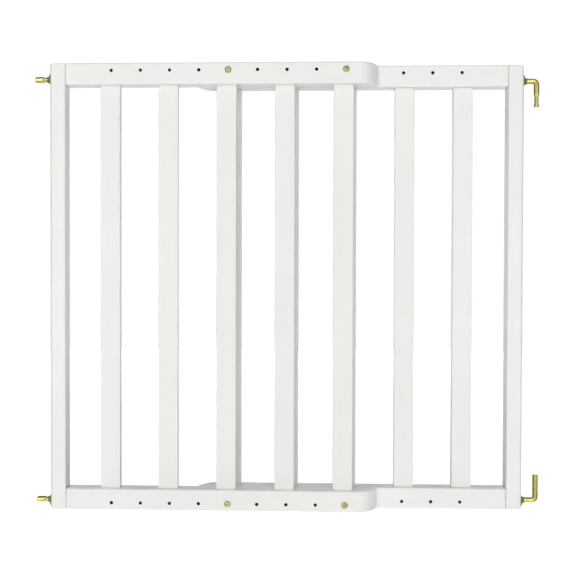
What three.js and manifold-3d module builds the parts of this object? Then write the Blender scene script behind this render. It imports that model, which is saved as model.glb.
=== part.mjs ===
// An extending wooden safety gate, hung between two walls.
//
// It is two like frames lying side by side. The latch frame is in front, with its post on the
// left, and the hinge frame is behind it, the same frame turned half round about the vertical.
// Each frame is a post, two rails and five slats. Four screws with cap nuts clamp the rails
// together through a row of holes, and the pair of holes they use sets the gate's width.
// The hinge frame carries two L-shaped hinge hooks, the latch frame two grooved latch studs.
//
// Millimetres. +X runs from the latch side to the hinge side, +Y from front to back, +Z up.
// The origin is the middle of the underside of the whole gate's box.

import * as THREE from 'three';
import { mergeVertices } from 'three/addons/utils/BufferGeometryUtils.js';
import Module from 'manifold-3d';

const wasm = await Module();
wasm.setup();

// Frames
const GATE_HEIGHT = 705;
const FRAME_LENGTH = 517;
const FRAME_DEPTH = 22;
const GAP = 0.3;

// Posts and rails
const POST_WIDTH = 25;
const POST_OUTER_ROUND = 5;
const RAIL_HEIGHT = 34;
const EDGE_ROUND = 2.5;
const JOINT_ROUND = 2;
const RAIL_END_RADIUS = 34;

// The row of holes that sets the width
const HOLE_COUNT = 9;
const HOLE_PITCH = 46;
const FIRST_HOLE = 98;
const HOLE_FROM_EDGE = 12;
const HOLE_RADIUS = 2.6;
const REAR_HOLE_UNDER_LAST = 5;

// Slats
const SLAT_COUNT = 5;
const SLAT_PITCH = 2 * HOLE_PITCH;
const SLAT_SHIFT = 3.2;
const SLAT_WIDTH = 31;
const SLAT_THICKNESS = 10;
const SLAT_ROUND = 1.5;
const SLAT_TENON = 12;

// Dowels between a post and its rails
const DOWEL_RADIUS = 4;
const DOWEL_IN_POST = 10;
const DOWEL_IN_RAIL = 20;
const DOWEL_HEIGHTS = [9.5, 24.5];

// Threaded inserts in a post's outer face
const INSERT_RADIUS = 6;
const INSERT_LENGTH = 13;
const INSERT_CHAMFER = 0.5;
const UPPER_FITTING_FROM_TOP = 23.5;
const LOWER_FITTING_FROM_BOTTOM = 13.5;

// Hinge hooks, latch studs and their flared rosettes
const ROD_RADIUS = 4.25;
const ROD_IN_POST = 12;
const HOOK_REACH = 22;
const HOOK_LEG = 41;
const HOOK_BEND = 5.5;
const LOWER_HOOK_BACKED_OUT = 2;
const STUD_REACH = 24;
const UPPER_STUD_BACKED_OUT = 1.25;
const STUD_HEAD_RADIUS = 4.8;
const STUD_NECK_RADIUS = 3.6;
const ROD_CHAMFER = 0.8;
const PIN_NECK_RADIUS = 3.3;
const PIN_CHAMFER = 0.9;
const ROSETTE_RADIUS = 10;
const ROSETTE_DEPTH = 6.2;
const ROSETTE_SKIN = 0.8;
const ROSETTE_RIM = 1.6;

// Where a stud's and a necked pin's radii change, measured back from the tip
const STUD_HEAD_LENGTH = 11.5;
const STUD_NECK_END = 14.5;
const STUD_NECK_START = 17.5;
const STUD_SHOULDER = 18.5;
const PIN_COLLAR = 1.8;
const PIN_NECK_END = 5.5;
const PIN_NECK_START = 17;
const PIN_SHOULDER = 20.5;

// Clamp screws, washers and cap nuts
const SCREW_RADIUS = 2.3;
const SCREW_HEAD_RADIUS = 5;
const SCREW_HEAD_HEIGHT = 3.2;
const SCREW_SLOT_WIDTH = 1.2;
const SCREW_SLOT_DEPTH = 1.4;
const SCREW_SLOT_TURNS = { upper_left: 63, upper_right: 29, lower_left: 3, lower_right: 126 };
const SCREW_CHAMFER = 0.6;
const WASHER_RADIUS = 6;
const WASHER_THICKNESS = 1.2;
const NUT_FLATS = 8;
const NUT_HEIGHT = 4;
const NUT_DOME_HEIGHT = 3.8;
const NUT_DOME_INSET = 0.3;
const NUT_WALL = 1.5;

// How round things are faceted
const ROUND_SIDES = 16;
const HOLE_SIDES = 12;
const CORNER_SEGMENTS = 3;
const END_ARC_SEGMENTS = 8;
const HOOK_STEPS = 24;
const DOME_STEPS = 4;
const FLARE_STEPS = 4;

// How far a cubic curve's handles reach when it draws a quarter circle of radius 1
const QUARTER_CIRCLE_HANDLE = 0.5523;

// Worked out from the above
const CLAMPED_DEPTH = 2 * FRAME_DEPTH + GAP;
const GATE_WIDTH = 2 * FIRST_HOLE + HOLE_PITCH * (HOLE_COUNT + REAR_HOLE_UNDER_LAST - 2);
const LAST_HOLE = FIRST_HOLE + HOLE_PITCH * (HOLE_COUNT - 1);
const UPPER_FITTING_Z = GATE_HEIGHT - UPPER_FITTING_FROM_TOP;
const BORE_CLEARANCE = GAP;
const CUT_OVERRUN = 1;
const JUST_CLEAR = 0.05;

// Materials
const whitePaint = new THREE.MeshStandardMaterial({ color: 0xeeeeec, roughness: 0.45, metalness: 0 });
const beech = new THREE.MeshStandardMaterial({ color: 0xd8b98c, roughness: 0.7, metalness: 0 });
const brass = new THREE.MeshStandardMaterial({ color: 0xc9bd6e, roughness: 0.28, metalness: 1 });
const zincSteel = new THREE.MeshStandardMaterial({ color: 0xb9bcc0, roughness: 0.4, metalness: 1 });

// ---------- solids: cutting and joining ----------

// Turns a closed three.js geometry into a manifold solid.
function solidOf(geometry) {
  const bare = geometry.clone();
  bare.deleteAttribute('normal');
  bare.deleteAttribute('uv');
  const merged = mergeVertices(bare);
  const corners = merged.index.array;
  const triangles = [];
  for (let i = 0; i < corners.length; i += 3) {
    const [a, b, c] = corners.slice(i, i + 3);
    if (a !== b && b !== c && c !== a) triangles.push(a, b, c);
  }
  const vertProperties = merged.attributes.position.array;
  const triVerts = new Uint32Array(triangles);
  return new wasm.Manifold(new wasm.Mesh({ numProp: 3, vertProperties, triVerts }));
}

// Turns a manifold solid back into a three.js geometry.
function geometryOf(solid) {
  const mesh = solid.getMesh();
  const geometry = new THREE.BufferGeometry();
  geometry.setAttribute('position', new THREE.BufferAttribute(mesh.vertProperties, 3));
  geometry.setIndex(new THREE.BufferAttribute(mesh.triVerts, 1));
  geometry.computeVertexNormals();
  return geometry;
}

// The part of space that every one of the geometries fills.
function common(...geometries) {
  return geometries.map(solidOf).reduce((kept, next) => kept.intersect(next));
}

// A geometry's solid less each of the cutters.
function cut(solid, cutters) {
  return cutters.reduce((kept, cutter) => kept.subtract(solidOf(cutter)), solid);
}

// ---------- simple shapes ----------

// A rectangle from (x0, y0) to (x1, y1) with its own radius at each corner, counterclockwise
// from the lowest one.
function roundedRectangle(x0, y0, x1, y1, radii) {
  const [r0, r1, r2, r3] = radii;
  const shape = new THREE.Shape();
  shape.absarc(x0 + r0, y0 + r0, r0, Math.PI, 1.5 * Math.PI);
  shape.absarc(x1 - r1, y0 + r1, r1, 1.5 * Math.PI, 2 * Math.PI);
  shape.absarc(x1 - r2, y1 - r2, r2, 0, 0.5 * Math.PI);
  shape.absarc(x0 + r3, y1 - r3, r3, 0.5 * Math.PI, Math.PI);
  return shape;
}

// A straight prism of a flat outline, along +Z from z = 0.
function prism(shape, depth, curveSegments = CORNER_SEGMENTS) {
  return new THREE.ExtrudeGeometry(shape, { depth, curveSegments, bevelEnabled: false });
}

// Stands a prism drawn in X and Z on its side, so that it runs along +Y from y = -CUT_OVERRUN.
function prismAlongY(shape, depth) {
  return prism(shape, depth + 2 * CUT_OVERRUN).rotateX(Math.PI / 2).translate(0, depth + CUT_OVERRUN, 0);
}

// Turns a prism drawn in Y and Z so that it runs along +X from x = -CUT_OVERRUN.
function prismAlongX(shape, depth) {
  const turned = prism(shape, depth + 2 * CUT_OVERRUN).rotateX(Math.PI / 2).rotateZ(Math.PI / 2);
  return turned.translate(-CUT_OVERRUN, 0, 0);
}

// A round bar along X, from x0 to x1.
function barAlongX(radius, x0, x1, y, z, sides = ROUND_SIDES) {
  const bar = new THREE.CylinderGeometry(radius, radius, x1 - x0, sides);
  return bar.rotateZ(Math.PI / 2).translate((x0 + x1) / 2, y, z);
}

// A round bar along Y, from y0 to y1.
function barAlongY(radius, y0, y1, sides = HOLE_SIDES) {
  return new THREE.CylinderGeometry(radius, radius, y1 - y0, sides).translate(0, (y0 + y1) / 2, 0);
}

// A box between two corners.
function boxBetween([x0, y0, z0], [x1, y1, z1]) {
  const box = new THREE.BoxGeometry(x1 - x0, y1 - y0, z1 - z0);
  return box.translate((x0 + x1) / 2, (y0 + y1) / 2, (z0 + z1) / 2);
}

// A turned piece: [radius, height] pairs about +Y, lowest first.
function turned(profile, sides = ROUND_SIDES) {
  return new THREE.LatheGeometry(profile.map(([r, h]) => new THREE.Vector2(r, h)), sides);
}

function piece(name, geometry, material) {
  const mesh = new THREE.Mesh(geometry, material);
  mesh.name = name;
  return mesh;
}

// ---------- one frame, in its own place ----------
// x runs inwards from the post's outer face, y from the rounded face of the rails, z up.

function holePosition(number) {
  return FIRST_HOLE + HOLE_PITCH * (number - 1);
}

function slatPosition(number) {
  return FIRST_HOLE - SLAT_SHIFT + SLAT_PITCH * (number - 1);
}

function fittingHeights() {
  return { upper: UPPER_FITTING_Z, lower: LOWER_FITTING_FROM_BOTTOM };
}

// The height of something measured from the outer edge of the top or the bottom rail.
function heightFromEdge(end, distance) {
  return end === 'top' ? GATE_HEIGHT - distance : distance;
}

function dowelHoles(x0, x1, ends) {
  const radius = DOWEL_RADIUS + BORE_CLEARANCE;
  return ends.flatMap((end) => DOWEL_HEIGHTS.map((height) => (
    barAlongX(radius, x0, x1, FRAME_DEPTH / 2, heightFromEdge(end, height), HOLE_SIDES))));
}

// The post: a rounded bar, bored for two inserts outside and four dowels inside.
function postGeometry() {
  const outer = POST_OUTER_ROUND;
  const inner = JOINT_ROUND;
  const plan = roundedRectangle(0, 0, POST_WIDTH, FRAME_DEPTH, [outer, inner, inner, outer]);
  const front = roundedRectangle(0, 0, POST_WIDTH, GATE_HEIGHT, [outer, inner, inner, outer]);
  const side = roundedRectangle(0, 0, FRAME_DEPTH, GATE_HEIGHT, Array(4).fill(EDGE_ROUND));
  const bar = common(
    prism(plan, GATE_HEIGHT),
    prismAlongY(front, FRAME_DEPTH),
    prismAlongX(side, POST_WIDTH),
  );
  const holeRadius = INSERT_RADIUS + BORE_CLEARANCE;
  const holeEnd = INSERT_LENGTH + CUT_OVERRUN;
  const insertHoles = Object.values(fittingHeights()).map((z) => (
    barAlongX(holeRadius, -CUT_OVERRUN, holeEnd, FRAME_DEPTH / 2, z)));
  const innerHoles = dowelHoles(
    POST_WIDTH - DOWEL_IN_POST - GAP, POST_WIDTH + CUT_OVERRUN, ['top', 'bottom']);
  return geometryOf(cut(bar, [...insertHoles, ...innerHoles]));
}

// A rail's plan: square at the post, and rounded by an arc at the free end of one face.
function railPlan() {
  const start = POST_WIDTH + GAP;
  const round = JOINT_ROUND;
  const arcDrop = RAIL_END_RADIUS - FRAME_DEPTH;
  const arcReach = Math.sqrt(RAIL_END_RADIUS ** 2 - arcDrop ** 2);
  const arcCentre = FRAME_LENGTH - arcReach;
  const arcEnd = -Math.asin(arcDrop / RAIL_END_RADIUS);
  const shape = new THREE.Shape();
  shape.absarc(start + round, round, round, Math.PI, 1.5 * Math.PI);
  for (let step = 0; step <= END_ARC_SEGMENTS; step += 1) {
    const angle = -Math.PI / 2 + (arcEnd + Math.PI / 2) * (step / END_ARC_SEGMENTS);
    shape.lineTo(
      arcCentre + RAIL_END_RADIUS * Math.cos(angle),
      RAIL_END_RADIUS + RAIL_END_RADIUS * Math.sin(angle),
    );
  }
  shape.absarc(start + round, FRAME_DEPTH - round, round, 0.5 * Math.PI, Math.PI);
  return shape;
}

// A rail: the clamp holes run through it, the slats' housings are in its inner edge, and the
// dowel holes are in its end at the post.
function railGeometry(end) {
  const low = Math.min(heightFromEdge(end, 0), heightFromEdge(end, RAIL_HEIGHT));
  const start = POST_WIDTH + GAP;
  const square = Array(4).fill(JOINT_ROUND);
  const section = roundedRectangle(0, low, FRAME_DEPTH, low + RAIL_HEIGHT, Array(4).fill(EDGE_ROUND));
  const elevation = roundedRectangle(start, low, FRAME_LENGTH, low + RAIL_HEIGHT, square);
  const bar = common(
    prism(railPlan(), RAIL_HEIGHT).translate(0, 0, low),
    prismAlongX(section, FRAME_LENGTH),
    prismAlongY(elevation, FRAME_DEPTH),
  );
  const holes = [];
  for (let number = 1; number <= HOLE_COUNT; number += 1) {
    const hole = barAlongY(HOLE_RADIUS, -CUT_OVERRUN, FRAME_DEPTH + CUT_OVERRUN);
    holes.push(hole.translate(holePosition(number), 0, heightFromEdge(end, HOLE_FROM_EDGE)));
  }
  const housings = [];
  for (let number = 1; number <= SLAT_COUNT; number += 1) {
    const half = { x: SLAT_WIDTH / 2 + GAP, y: SLAT_THICKNESS / 2 + GAP };
    const edges = [RAIL_HEIGHT + CUT_OVERRUN, RAIL_HEIGHT - SLAT_TENON - GAP];
    const heights = edges.map((distance) => heightFromEdge(end, distance)).sort((a, b) => a - b);
    housings.push(boxBetween(
      [slatPosition(number) - half.x, FRAME_DEPTH / 2 - half.y, heights[0]],
      [slatPosition(number) + half.x, FRAME_DEPTH / 2 + half.y, heights[1]],
    ));
  }
  const dowels = dowelHoles(start - CUT_OVERRUN, start + DOWEL_IN_RAIL + GAP, [end]);
  return geometryOf(cut(bar, [...holes, ...housings, ...dowels]));
}

// A slat: a flat bar with eased edges, its ends standing in the two rails' housings.
function slatGeometry() {
  const round = Array(4).fill(SLAT_ROUND);
  const outline = roundedRectangle(
    -SLAT_WIDTH / 2, -SLAT_THICKNESS / 2, SLAT_WIDTH / 2, SLAT_THICKNESS / 2, round);
  const foot = RAIL_HEIGHT - SLAT_TENON;
  return prism(outline, GATE_HEIGHT - 2 * foot).translate(0, FRAME_DEPTH / 2, foot);
}

// A dowel, lying half hidden in the post and half in the rail.
function dowelGeometry(z) {
  return barAlongX(
    DOWEL_RADIUS, POST_WIDTH - DOWEL_IN_POST, POST_WIDTH + DOWEL_IN_RAIL, FRAME_DEPTH / 2, z, HOLE_SIDES);
}

// Places a turned piece so that its axis points out of the post's outer face: its +Y becomes -x.
function outOfPost(geometry, z) {
  return geometry.rotateZ(Math.PI / 2).translate(0, FRAME_DEPTH / 2, z);
}

// A threaded insert: a plain tube with a thin lip, sunk flush in the post's outer face.
function insertGeometry(z) {
  const bore = ROD_RADIUS + BORE_CLEARANCE;
  const profile = [
    [bore, -INSERT_LENGTH],
    [INSERT_RADIUS - INSERT_CHAMFER, -INSERT_LENGTH],
    [INSERT_RADIUS, -INSERT_LENGTH + INSERT_CHAMFER],
    [INSERT_RADIUS, 0],
    [bore, 0],
    [bore, -INSERT_LENGTH],
  ];
  return outOfPost(turned(profile), z);
}

// A rosette: a thin flared ring, its wide rim against the post and its narrow end round the rod.
function rosetteGeometry(z) {
  const bore = ROD_RADIUS + BORE_CLEARANCE;
  const collar = bore + ROSETTE_SKIN;
  const outside = [];
  for (let step = 0; step <= FLARE_STEPS; step += 1) {
    const turn = (Math.PI / 2) * (step / FLARE_STEPS);
    const radius = ROSETTE_RADIUS - (ROSETTE_RADIUS - collar) * Math.sin(turn);
    outside.push([radius, ROSETTE_DEPTH - (ROSETTE_DEPTH - ROSETTE_RIM) * Math.cos(turn)]);
  }
  const profile = [
    [collar, GAP],
    [ROSETTE_RADIUS, GAP],
    ...outside,
    [bore, ROSETTE_DEPTH],
    [bore, ROSETTE_DEPTH - ROSETTE_RIM],
    [collar, GAP],
  ];
  return outOfPost(turned(profile), z);
}

// A latch stud: a threaded rod with a narrow neck, then a long round head.
function studGeometry(z, backedOut) {
  const tip = STUD_REACH;
  const profile = [
    [0, -ROD_IN_POST],
    [ROD_RADIUS - ROD_CHAMFER, -ROD_IN_POST],
    [ROD_RADIUS, -ROD_IN_POST + ROD_CHAMFER],
    [ROD_RADIUS, tip - STUD_SHOULDER],
    [STUD_NECK_RADIUS, tip - STUD_NECK_START],
    [STUD_NECK_RADIUS, tip - STUD_NECK_END],
    [STUD_HEAD_RADIUS, tip - STUD_HEAD_LENGTH],
    [STUD_HEAD_RADIUS, tip - ROD_CHAMFER],
    [STUD_HEAD_RADIUS - ROD_CHAMFER, tip],
    [0, tip],
  ].map(([radius, height]) => [radius, height + backedOut]);
  return outOfPost(turned(profile), z);
}

// The path of a hook's rod: out of the post, round the bend, then up or down.
function hookPath(reach, direction) {
  const point = (x, z) => new THREE.Vector3(-x, 0, direction * z);
  const handle = HOOK_BEND * (1 - QUARTER_CIRCLE_HANDLE);
  const path = new THREE.CurvePath();
  const start = reach - HOOK_REACH - ROD_IN_POST;
  path.add(new THREE.LineCurve3(point(start, 0), point(reach - HOOK_BEND, 0)));
  path.add(new THREE.CubicBezierCurve3(
    point(reach - HOOK_BEND, 0), point(reach - handle, 0), point(reach, handle), point(reach, HOOK_BEND)));
  path.add(new THREE.LineCurve3(point(reach, HOOK_BEND), point(reach, HOOK_LEG)));
  return path;
}

// What is turned away from a hook's leg: the edge of its tip and, on a necked leg, a long groove.
function legCutter(reach, direction, necked) {
  const tip = HOOK_LEG;
  const outside = ROD_RADIUS + CUT_OVERRUN;
  const surface = ROD_RADIUS + JUST_CLEAR;
  const top = tip - PIN_SHOULDER;
  const groove = [
    [surface, top],
    [PIN_NECK_RADIUS, tip - PIN_NECK_START],
    [PIN_NECK_RADIUS, tip - PIN_NECK_END],
  ];
  const profile = [
    [outside, top],
    ...(necked ? groove : [[surface, top]]),
    [surface, tip - PIN_COLLAR],
    [ROD_RADIUS - PIN_CHAMFER, tip + JUST_CLEAR],
    [outside, tip + JUST_CLEAR],
    [outside, top],
  ];
  // The list runs up the inside of the ring and back down its outside, so it is turned about.
  const ring = turned(profile.reverse(), ROUND_SIDES);
  const upright = ring.rotateX(direction > 0 ? Math.PI / 2 : -Math.PI / 2);
  return upright.translate(-reach, 0, 0);
}

// A hinge hook: a rod bent square, its leg the pin that drops into an eye on the wall.
function hookGeometry(z, direction, backedOut, necked) {
  const reach = HOOK_REACH + backedOut;
  const section = new THREE.Shape();
  section.absarc(0, 0, ROD_RADIUS, 0, 2 * Math.PI);
  // A whole circle gets two sides for each of its curve segments.
  const options = {
    steps: HOOK_STEPS,
    curveSegments: ROUND_SIDES / 2,
    extrudePath: hookPath(reach, direction),
  };
  const rod = solidOf(new THREE.ExtrudeGeometry(section, options));
  const shaped = cut(rod, [legCutter(reach, direction, necked)]);
  return geometryOf(shaped).translate(0, FRAME_DEPTH / 2, z);
}

// Everything that is the same in both frames.
function frameGroup(side) {
  const frame = new THREE.Group();
  frame.add(piece(`${side}_post`, postGeometry(), whitePaint));
  for (const end of ['top', 'bottom']) {
    frame.add(piece(`${side}_${end}_rail`, railGeometry(end), whitePaint));
    DOWEL_HEIGHTS.forEach((height, index) => {
      const name = `${side}_${end}_dowel_${index + 1}`;
      frame.add(piece(name, dowelGeometry(heightFromEdge(end, height)), beech));
    });
  }
  for (let number = 1; number <= SLAT_COUNT; number += 1) {
    const slat = piece(`${side}_slat_${number}`, slatGeometry(), whitePaint);
    slat.position.x = slatPosition(number);
    frame.add(slat);
  }
  for (const [level, z] of Object.entries(fittingHeights())) {
    frame.add(piece(`${side}_${level}_insert`, insertGeometry(z), zincSteel));
    frame.add(piece(`${side}_${level}_rosette`, rosetteGeometry(z), brass));
  }
  return frame;
}

function latchFrame() {
  const frame = frameGroup('latch');
  const { upper, lower } = fittingHeights();
  frame.add(piece('upper_latch_stud', studGeometry(upper, UPPER_STUD_BACKED_OUT), brass));
  frame.add(piece('lower_latch_stud', studGeometry(lower, 0), brass));
  return frame;
}

function hingeFrame() {
  const frame = frameGroup('hinge');
  const { upper, lower } = fittingHeights();
  frame.add(piece('upper_hinge_hook', hookGeometry(upper, -1, 0, true), brass));
  frame.add(piece('lower_hinge_hook', hookGeometry(lower, 1, LOWER_HOOK_BACKED_OUT, false), brass));
  frame.rotation.z = Math.PI;
  frame.position.set(GATE_WIDTH, CLAMPED_DEPTH, 0);
  return frame;
}

// ---------- the clamp screws, along Y ----------

// A round-headed slotted screw. Its head is at the front and its end is inside the cap nut.
function clampScrewGeometry(slotTurn) {
  const end = CLAMPED_DEPTH + GAP + WASHER_THICKNESS + GAP + NUT_HEIGHT;
  const dome = [];
  for (let step = 0; step <= DOME_STEPS; step += 1) {
    const turn = (Math.PI / 2) * (step / DOME_STEPS);
    dome.push([SCREW_HEAD_RADIUS * Math.sin(turn), -GAP - SCREW_HEAD_HEIGHT * Math.cos(turn)]);
  }
  const profile = [
    ...dome,
    [SCREW_RADIUS, -GAP],
    [SCREW_RADIUS, end - SCREW_CHAMFER],
    [SCREW_RADIUS - SCREW_CHAMFER, end],
    [0, end],
  ];
  const slotFloor = -GAP - SCREW_HEAD_HEIGHT + SCREW_SLOT_DEPTH;
  const slotMouth = -GAP - SCREW_HEAD_HEIGHT - CUT_OVERRUN;
  const slot = boxBetween(
    [-SCREW_HEAD_RADIUS, slotMouth, -SCREW_SLOT_WIDTH / 2],
    [SCREW_HEAD_RADIUS, slotFloor, SCREW_SLOT_WIDTH / 2],
  ).rotateY(THREE.MathUtils.degToRad(slotTurn));
  return geometryOf(cut(solidOf(turned(profile, ROUND_SIDES)), [slot]));
}

function clampWasherGeometry() {
  const near = CLAMPED_DEPTH + GAP;
  const far = near + WASHER_THICKNESS;
  const bore = SCREW_RADIUS + BORE_CLEARANCE;
  return turned([[bore, near], [WASHER_RADIUS, near], [WASHER_RADIUS, far], [bore, far], [bore, near]]);
}

// A cap nut: a hexagon with a dome, bored blind from the washer's side.
function capNutGeometry() {
  const near = CLAMPED_DEPTH + GAP + WASHER_THICKNESS + GAP;
  const far = near + NUT_HEIGHT;
  const corner = NUT_FLATS / 2 / Math.cos(Math.PI / 6);
  const hexagon = new THREE.CylinderGeometry(corner, corner, NUT_HEIGHT, 6);
  hexagon.translate(0, (near + far) / 2, 0);
  const domeRadius = NUT_FLATS / 2 - NUT_DOME_INSET;
  const domeFoot = far - CUT_OVERRUN;
  const dome = [[0, domeFoot], [domeRadius, domeFoot]];
  for (let step = 0; step <= DOME_STEPS; step += 1) {
    const turn = (Math.PI / 2) * (step / DOME_STEPS);
    dome.push([domeRadius * Math.cos(turn), far + NUT_DOME_HEIGHT * Math.sin(turn)]);
  }
  const boreEnd = far + NUT_DOME_HEIGHT - NUT_WALL;
  const boreRadius = SCREW_RADIUS + BORE_CLEARANCE;
  const bore = barAlongY(boreRadius, near - CUT_OVERRUN, boreEnd);
  return geometryOf(cut(solidOf(hexagon).add(solidOf(turned(dome))), [bore]));
}

// The screws go through the last hole of each rail: two over the hinge frame's last hole, and
// two in the latch frame's.
function clampSets() {
  const columns = { left: GATE_WIDTH - LAST_HOLE, right: LAST_HOLE };
  const sets = [];
  for (const [end, level] of [['top', 'upper'], ['bottom', 'lower']]) {
    for (const [column, x] of Object.entries(columns)) {
      const place = `${level}_${column}`;
      const set = new THREE.Group();
      set.add(piece(`clamp_screw_${place}`, clampScrewGeometry(SCREW_SLOT_TURNS[place]), brass));
      set.add(piece(`clamp_washer_${place}`, clampWasherGeometry(), brass));
      set.add(piece(`cap_nut_${place}`, capNutGeometry(), brass));
      set.position.set(x, 0, heightFromEdge(end, HOLE_FROM_EDGE));
      sets.push(set);
    }
  }
  return sets;
}

// ---------- the whole gate ----------

const gate = new THREE.Group();
gate.add(latchFrame(), hingeFrame(), ...clampSets());

const box = new THREE.Box3().setFromObject(gate, true);
const centre = box.getCenter(new THREE.Vector3());
gate.position.set(-centre.x, -centre.y, -box.min.z);
gate.updateMatrixWorld(true);

export default gate;
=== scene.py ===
# The looks of an extending wooden safety gate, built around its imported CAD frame.
import math

import bmesh
import bpy
from mathutils import Matrix, Vector


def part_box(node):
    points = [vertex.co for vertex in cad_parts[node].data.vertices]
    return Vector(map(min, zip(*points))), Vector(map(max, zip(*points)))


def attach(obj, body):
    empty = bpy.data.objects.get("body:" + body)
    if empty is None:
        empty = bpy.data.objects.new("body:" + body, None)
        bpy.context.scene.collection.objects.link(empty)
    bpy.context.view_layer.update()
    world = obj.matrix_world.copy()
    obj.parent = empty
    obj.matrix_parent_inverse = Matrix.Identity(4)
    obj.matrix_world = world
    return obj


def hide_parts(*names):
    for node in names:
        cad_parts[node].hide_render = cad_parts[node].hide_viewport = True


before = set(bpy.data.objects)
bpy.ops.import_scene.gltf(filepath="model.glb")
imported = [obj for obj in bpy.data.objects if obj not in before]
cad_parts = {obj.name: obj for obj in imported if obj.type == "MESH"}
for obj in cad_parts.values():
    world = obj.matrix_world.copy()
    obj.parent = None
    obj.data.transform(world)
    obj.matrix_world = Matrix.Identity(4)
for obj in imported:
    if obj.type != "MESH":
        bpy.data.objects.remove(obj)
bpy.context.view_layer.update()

MM = 0.001

# ---------------------------------------------------------------- driving values, sizes in metres

# Wood
OUTER_ROUND = 5.0 * MM
EDGE_ROUND = 2.5 * MM
JOINT_ROUND = 2.0 * MM
SLAT_ROUND = 1.3 * MM
RAIL_END_RADIUS = 34 * MM
TIP_ROUND = 2.7 * MM
SHARP = 0.12 * MM
SNUG = 0.04 * MM
CLEAR = 0.3 * MM
EASING_SHARE = 0.45
JOINT_GAP = 0.06 * MM
ROUND_STEPS = 6
RAIL_END_STEPS = 28
SLAT_COUNT = 5
SLAT_ROUND_STEPS = 5
WOOD_SHARP_DEGREES = 35
INSERT_HOLE_OVERRUN = 1 * MM
INSERT_HOLE_SIDES = 32
DOWEL_NUMBERS = (1, 2)
DOWEL_HOLE_SIDES = 24

# The rows of clamp holes
HOLE_COUNT = 9
HOLE_PITCH = 46 * MM
FIRST_HOLE = 98 * MM
HOLE_RADIUS = 2.6 * MM
HOLE_RIM = 0.35 * MM
HOLE_SIDES = 32
# Which faces of a rail are its holes' walls, which get painted shade
HOLE_WALL_REACH = 1.02 * HOLE_RADIUS
HOLE_WALL_MARGIN = 0.02 * MM

# Brass rods: the hooks and the studs
ROD_RADIUS = 4.25 * MM
ROD_THREAD_PITCH = 1.25 * MM
ROD_THREAD_DEPTH = 0.55 * MM
ROD_CHAMFER = 0.7 * MM
THREAD_STEPS = 6
HOOK_BEND = 5.5 * MM
PIN_NECK_RADIUS = 3.3 * MM
PIN_NECK = (5.5 * MM, 17.0 * MM)
PIN_SHOULDERS = (1.8 * MM, 20.5 * MM)
STUD_HEAD_RADIUS = 4.8 * MM
STUD_TIP_RADIUS = 4.4 * MM
STUD_TAPER = 8.0 * MM
STUD_HEAD_LENGTH = 12.2 * MM
STUD_NECK_RADIUS = 3.6 * MM
STUD_NECK = (15.0 * MM, 17.4 * MM)
STUD_SHOULDER = 18.6 * MM
STUD_CUP = 1.2 * MM
STUD_EASING = 1.2 * MM
STUD_EASING_STEPS = 5
STUD_SIDES = 48

# Brass rings
ROSETTE_PLAY = 0.12 * MM
ROSETTE_SKIN = 0.7 * MM
ROSETTE_RIM = 0.8 * MM
ROSETTE_FLARE = 2.4
ROSETTE_STEPS = 16
ROSETTE_SIDES = 64
ROSETTE_LIP_STEPS = 6
ROSETTE_END_STEPS = 8
WASHER_EDGE = 0.25 * MM
WASHER_SIDES = 56
BORE_PLAY = 0.1 * MM

# Brass screws and cap nuts
SCREW_RADIUS = 2.3 * MM
SCREW_HEAD_HEIGHT = 3.2 * MM
SCREW_HEAD_EDGE = 0.25 * MM
SCREW_THREAD_LENGTH = 26 * MM
SCREW_THREAD_PITCH = 0.8 * MM
SCREW_THREAD_DEPTH = 0.4 * MM
SCREW_CHAMFER = 0.6 * MM
SCREW_SLOT_WIDTH = 1.1 * MM
SCREW_SLOT_DEPTH = 1.5 * MM
# How far each slot is turned about its screw, in degrees
SCREW_SLOT_TURNS = {"upper_left": 63, "upper_right": 29, "lower_left": 3, "lower_right": 126}
NUT_HEIGHT = 4 * MM
NUT_CHAMFER = 0.5 * MM
NUT_CROWN_THICKNESS = 1.5 * MM
NUT_DOME_RADIUS = 3.7 * MM
NUT_CHAMFER_SIDES = 64
NUT_DOME_SIDES = 48
NUT_BORE_SIDES = 32
SCREW_SIDES = 28
DOME_STEPS = 14
ROD_SIDES = 40
HOOK_ARM_STEPS = 8
HOOK_BEND_STEPS = 14
PIN_STEPS = 44
BRASS_SHARP_DEGREES = 50

# Camera, at the photograph's viewing angle: in metres and radians, and the lens and the sensor in
# millimetres
CAMERA_DISTANCE = 1.050
CAMERA_LENS = 42.0
CAMERA_X = 0.0302
CAMERA_Z = 0.3653
CAMERA_YAW = 0.0279
CAMERA_PITCH = -0.0124
CAMERA_ROLL = 0.0026
CAMERA_SENSOR = 36
CAMERA_CLIP = (0.01, 100)

# The floor, the white surroundings, and the tones that the brass reflects in their place
FLOOR_RADIUS = 14
FLOOR_SIDES = 96
FLOOR_TONE = 0.82
FLOOR_ROUGHNESS = 0.9
FLOOR_GLOW = 0.9
WALL = 1.05
REFLECTED_SIDES = 0.22
REFLECTED_FRONT = 0.8

# Each lamp: its name, its place and its size in metres, and its power in watts. All of them are
# aimed at about the middle of the gate.
LAMPS_AIM = (0, 0, 0.35)
LAMPS = (
    ("front_left", (-1.5, -2.1, 0.35), (1.2, 1.6), 26.0),
    ("front_right", (1.5, -2.1, 0.35), (1.2, 1.6), 25.0),
    ("low", (0, -1.6, -1.2), (3.0, 1.2), 8.0),
    ("high", (0, -1.6, 1.9), (3.0, 1.2), 18.0),
    ("bounce", (0, 0, -1.4), (3.0, 1.4), 30.0),
    ("back", (0, 2.4, 0.5), (3.0, 1.4), 17.0),
)

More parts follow.
